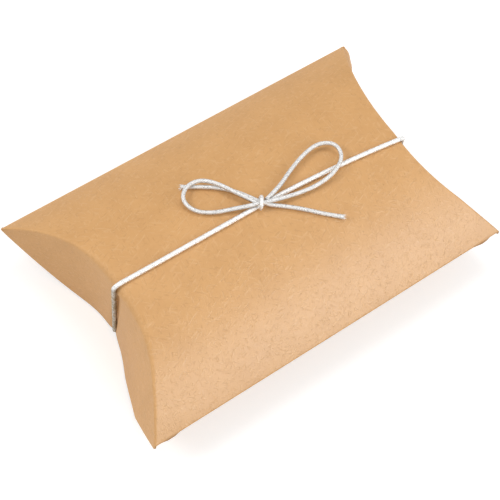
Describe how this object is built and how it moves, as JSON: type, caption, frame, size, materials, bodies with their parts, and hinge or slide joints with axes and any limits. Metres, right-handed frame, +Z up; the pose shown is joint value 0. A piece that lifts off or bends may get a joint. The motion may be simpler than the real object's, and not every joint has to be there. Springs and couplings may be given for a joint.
{
  "type": "favor box",
  "caption": "Kraft board pillow box with arched panels and tucked-in concave ends, tied lengthwise with a thin silver elastic cord in a bow.",
  "frame": {"origin": "on the table, below the middle of the box", "axes": "+X along the box, +Y from the front fold with the glue seam to the back fold, +Z up"},
  "size_m": [0.0888, 0.056, 0.0249],
  "materials": {
    "kraft_board": "matte uncoated kraft",
    "glue": "dried white glue",
    "silver_cord": "metallic braid"
  },
  "bodies": {
    "box": {"upper_panel": "kraft_board", "lower_panel": "kraft_board", "glue_flap": "kraft_board", "seam_glue": "glue", "tie_top_left_run": "silver_cord", "tie_top_right_run": "silver_cord", "tie_bottom_run": "silver_cord", "tie_knot": "silver_cord", "bow_left_loop": "silver_cord", "bow_right_loop": "silver_cord", "bow_left_tail": "silver_cord", "bow_right_tail": "silver_cord"},
    "left_outer_flap": {"left_outer_flap": "kraft_board", "tie_left_end_run": "silver_cord"},
    "right_outer_flap": {"right_outer_flap": "kraft_board", "tie_right_end_run": "silver_cord"},
    "left_inner_flap": {"left_inner_flap": "kraft_board"},
    "right_inner_flap": {"right_inner_flap": "kraft_board"}
  },
  "joints": [
    {"name": "left_outer_flap_crease", "type": "hinge", "parent": "box", "child": "left_outer_flap", "pos_m": [-0.03581, 0, 0.0217], "axis": [0, 1, 0], "range_deg": [0, 45], "stiffness_Nm_per_rad": 0.0008, "deforming": ["tie_left_end_run"]},
    {"name": "right_outer_flap_crease", "type": "hinge", "parent": "box", "child": "right_outer_flap", "pos_m": [0.0347, 0, 0.0217], "axis": [0, -1, 0], "range_deg": [0, 45], "stiffness_Nm_per_rad": 0.0008, "deforming": ["tie_right_end_run"]},
    {"name": "left_inner_flap_crease", "type": "hinge", "parent": "box", "child": "left_inner_flap", "pos_m": [-0.0325, 0, 0.0006], "axis": [0, 1, 0], "range_deg": [0, 15], "stiffness_Nm_per_rad": 0.0008},
    {"name": "right_inner_flap_crease", "type": "hinge", "parent": "box", "child": "right_inner_flap", "pos_m": [0.0325, 0, 0.0006], "axis": [0, -1, 0], "range_deg": [0, 15], "stiffness_Nm_per_rad": 0.0008}
  ]
}
